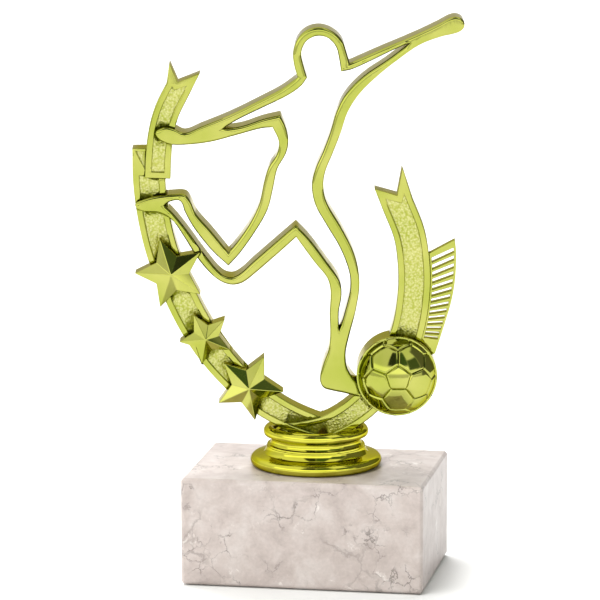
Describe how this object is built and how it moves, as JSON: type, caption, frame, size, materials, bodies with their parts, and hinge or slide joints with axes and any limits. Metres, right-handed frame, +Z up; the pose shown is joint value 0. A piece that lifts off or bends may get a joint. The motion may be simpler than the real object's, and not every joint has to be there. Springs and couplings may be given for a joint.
{
  "type": "figure trophy",
  "caption": "Trophy with an open outline of a kicking football player, held by curved ribbons with stars and a ball, on a round foot bolted to a marble block.",
  "frame": {"origin": "centre of the rubber pad's underside, under the middle of the block and the bolt's axis", "axes": "+Z up, the block's long front looks along -Y, +X to the viewer's right; the figure is turned 10 degrees to the right of -Y on its bolt"},
  "size_m": [0.0949, 0.05, 0.1624],
  "materials": {
    "marble": "honed and polished, grey veins",
    "rubber": "matt, finely ribbed",
    "zinc_steel": "zinc plated",
    "brass": "turned",
    "gold_plastic": "moulded plastic, vacuum metallised in greenish gold, high gloss"
  },
  "bodies": {
    "base": {"base_block": "marble", "rubber_pad": "rubber"},
    "figure": {"clamp_bolt": "zinc_steel", "washer": "zinc_steel", "threaded_insert": "brass", "foot_collar": "gold_plastic", "player_outline": "gold_plastic", "football": "gold_plastic", "ribbon_left": "gold_plastic", "ribbon_left_tail": "gold_plastic", "ribbon_right": "gold_plastic", "fringe_comb": "gold_plastic", "star_upper": "gold_plastic", "star_middle": "gold_plastic", "star_lower": "gold_plastic"}
  },
  "joints": [
    {"name": "figure_swivel", "type": "hinge", "parent": "base", "child": "figure", "pos_m": [0, 0, 0.0315], "axis": [0, 0, 1], "continuous": true}
  ]
}
